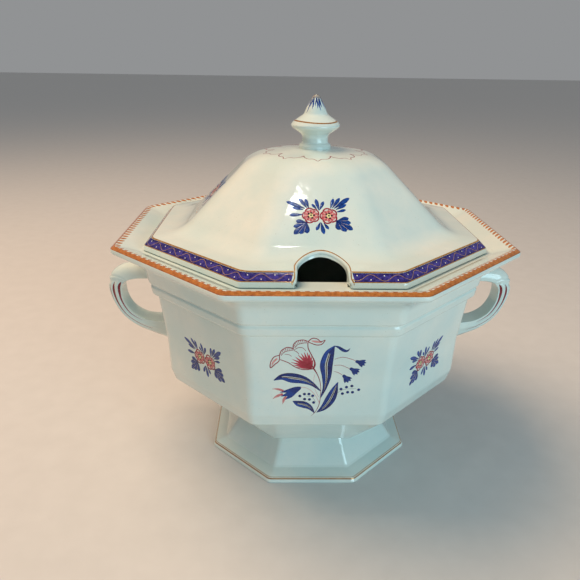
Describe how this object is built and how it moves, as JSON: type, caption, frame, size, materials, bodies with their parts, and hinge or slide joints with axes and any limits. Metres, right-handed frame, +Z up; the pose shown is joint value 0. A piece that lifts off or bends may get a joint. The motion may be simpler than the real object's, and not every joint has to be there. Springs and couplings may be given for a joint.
{
  "type": "soup tureen",
  "caption": "Octagonal glazed pottery soup tureen on a pedestal foot, with strap handles, a wide rim and a domed lift-off lid that has a ladle notch and a turned finial.",
  "frame": {"origin": "on the table under the centre of the foot", "axes": "+X from the left handle to the right handle, the ladle notch faces -Y, +Z up"},
  "size_m": [0.2952, 0.2574, 0.2533],
  "materials": {
    "glazed_ware": "glossy pale grey-green lead glaze over white earthenware",
    "lid_ware": "glossy pale grey-green lead glaze over white earthenware",
    "cobalt_enamel": "hand-painted mottled blue under the glaze",
    "red_enamel": "hand-painted crimson and maroon enamel strokes",
    "gilding": "fired copper-gold lustre lines"
  },
  "bodies": {
    "tureen": {"foot": "glazed_ware", "bowl": "glazed_ware", "left_handle": "glazed_ware", "right_handle": "glazed_ware"},
    "cover": {"lid": "lid_ware", "lid_flange": "lid_ware", "finial": "lid_ware"}
  },
  "joints": [
    {"name": "lid_lift", "type": "slide", "parent": "tureen", "child": "cover", "axis": [0, 0, 1], "range_m": [0, 0.12]}
  ]
}
